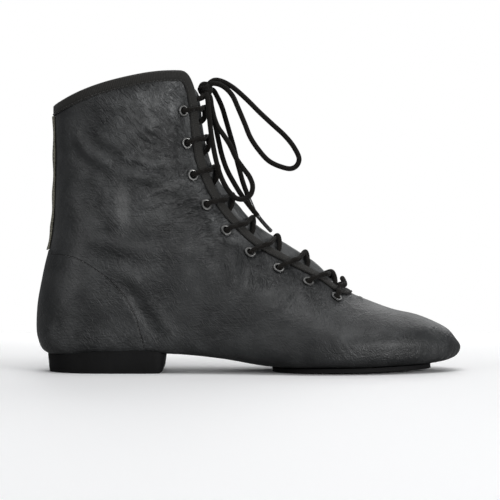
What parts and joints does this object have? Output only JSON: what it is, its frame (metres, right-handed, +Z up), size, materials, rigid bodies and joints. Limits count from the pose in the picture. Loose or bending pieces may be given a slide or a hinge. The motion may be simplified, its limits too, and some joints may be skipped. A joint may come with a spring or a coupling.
{
  "type": "dance boot",
  "caption": "Soft leather lace-up dance boot with a split sole, low heel, bound collar and tongue; stands empty on heel and forefoot.",
  "frame": {"origin": "on the ground under the middle of the heel block", "axes": "+X towards the toe, -Y towards the outer side of the foot, +Z up"},
  "size_m": [0.2584, 0.0893, 0.1826],
  "materials": {
    "leather": "soft semi-gloss black leather with a fine grain",
    "lining": "matt dark fabric lining",
    "rubber": "matt black rubber and suede",
    "ribbon": "ribbed woven ribbon",
    "eyelet": "glossy black enamel",
    "lace": "round braided cotton",
    "lace_tip": "glossy black tip"
  },
  "bodies": {
    "root": {"upper": "leather", "tongue": "leather", "insole": "lining", "sole_front": "rubber", "heel": "rubber", "collar_binding": "ribbon", "back_strip": "ribbon", "eyelet_outer_1": "eyelet", "eyelet_outer_2": "eyelet", "eyelet_outer_3": "eyelet", "eyelet_outer_4": "eyelet", "eyelet_outer_5": "eyelet", "eyelet_outer_6": "eyelet", "eyelet_outer_7": "eyelet", "eyelet_outer_8": "eyelet", "eyelet_outer_9": "eyelet", "eyelet_inner_1": "eyelet", "eyelet_inner_2": "eyelet", "eyelet_inner_3": "eyelet", "eyelet_inner_4": "eyelet", "eyelet_inner_5": "eyelet", "eyelet_inner_6": "eyelet", "eyelet_inner_7": "eyelet", "eyelet_inner_8": "eyelet", "eyelet_inner_9": "eyelet", "lace_crossing_1": "lace", "lace_crossing_2": "lace", "lace_crossing_3": "lace", "lace_crossing_4": "lace", "lace_crossing_5": "lace", "lace_crossing_6": "lace", "lace_crossing_7": "lace", "lace_crossing_8": "lace", "lace_bar": "lace", "lace_ties": "lace", "lace_knot": "lace", "lace_loop_large": "lace", "lace_loop_small": "lace", "lace_end_long": "lace", "lace_end_short": "lace", "lace_tip_long": "lace_tip", "lace_tip_short": "lace_tip"}
  },
  "joints": []
}
